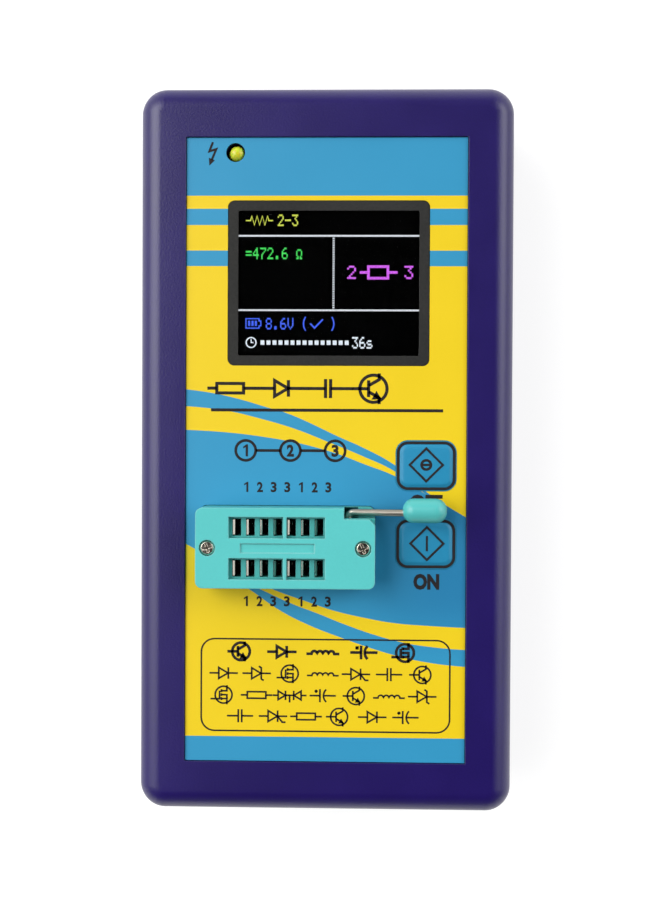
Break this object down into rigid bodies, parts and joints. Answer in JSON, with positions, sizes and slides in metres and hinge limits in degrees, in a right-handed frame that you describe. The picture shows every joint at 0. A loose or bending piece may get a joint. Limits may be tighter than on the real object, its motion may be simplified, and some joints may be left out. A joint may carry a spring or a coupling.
{
  "type": "component tester",
  "caption": "Handheld electronic component tester: a plastic case with a printed front panel, colour display, keys, indicator lamp and a lever-operated test socket.",
  "frame": {"origin": "centre of the case's footprint on its back face, which lies on the surface", "axes": "+X across the case to its right side, +Y along the case to its display end, +Z out of the front panel"},
  "size_m": [0.072, 0.139, 0.034],
  "materials": {
    "case_plastic": "fine satin indigo moulding",
    "printed_film": "yellow and sky blue print under a satin film",
    "bezel_plastic": "fine matte dark grey",
    "window_plastic": "clear polished",
    "display_glass": "black glossy display",
    "foam": "soft white foam",
    "flex_circuit": "amber flexible circuit",
    "key_film": "blue embossed film",
    "black_plastic": "black moulding",
    "switch_metal": "stamped steel cover",
    "lamp_resin": "diffused yellow-green resin",
    "socket_plastic": "teal moulding",
    "slider_plastic": "teal moulding",
    "contact_metal": "plated spring metal",
    "nickel": "nickel plate",
    "knob_plastic": "smooth teal moulding",
    "circuit_board": "green solder mask",
    "chip_resin": "black resin",
    "capacitor_sleeve": "dark blue sleeve",
    "battery_jacket": "plain dark jacket",
    "red_insulation": "red insulation",
    "black_insulation": "black insulation",
    "zinc": "zinc plate"
  },
  "bodies": {
    "case": {"front_shell": "case_plastic", "rear_shell": "case_plastic", "front_film": "printed_film", "display_bezel": "bezel_plastic", "display_window": "window_plastic", "display_module": "display_glass", "display_pad": "foam", "display_ribbon": "flex_circuit", "key_switches": "switch_metal", "indicator_lamp": "lamp_resin", "socket_base": "socket_plastic", "socket_cover": "socket_plastic", "upper_contacts": "contact_metal", "lower_contacts": "contact_metal", "socket_screws": "nickel", "main_board": "circuit_board", "microcontroller": "chip_resin", "crystal": "nickel", "voltage_regulator": "chip_resin", "capacitors": "capacitor_sleeve", "resistors": "chip_resin", "battery": "battery_jacket", "battery_snap": "black_plastic", "red_lead": "red_insulation", "black_lead": "black_insulation", "board_screws": "zinc", "case_screws": "zinc"},
    "lever": {"socket_lever": "nickel", "lever_knob": "knob_plastic"},
    "slider": {"socket_slider": "slider_plastic"},
    "off_button": {"off_key": "key_film", "off_plunger": "black_plastic"},
    "test_button": {"test_key": "key_film", "test_plunger": "black_plastic"},
    "door": {"battery_door": "case_plastic"}
  },
  "joints": [
    {"name": "lever_turn", "type": "hinge", "parent": "case", "child": "lever", "pos_m": [0.00445, -0.01153, 0.029], "axis": [0, -1, 0], "range_deg": [0, 82]},
    {"name": "slider_shift", "type": "slide", "parent": "case", "child": "slider", "axis": [1, 0, 0], "range_m": [-0.000787, 0]},
    {"name": "off_press", "type": "slide", "parent": "case", "child": "off_button", "axis": [0, 0, -1], "range_m": [0, 0.0003], "stiffness_N_per_m": 4000},
    {"name": "test_press", "type": "slide", "parent": "case", "child": "test_button", "axis": [0, 0, -1], "range_m": [0, 0.0003], "stiffness_N_per_m": 4000},
    {"name": "door_slide", "type": "slide", "parent": "case", "child": "door", "axis": [0, -1, 0], "range_m": [0, 0.03]}
  ],
  "couplings": [
    {"joint": "lever_turn", "follows": "slider_shift", "rad_per_m": -1817.9}
  ]
}
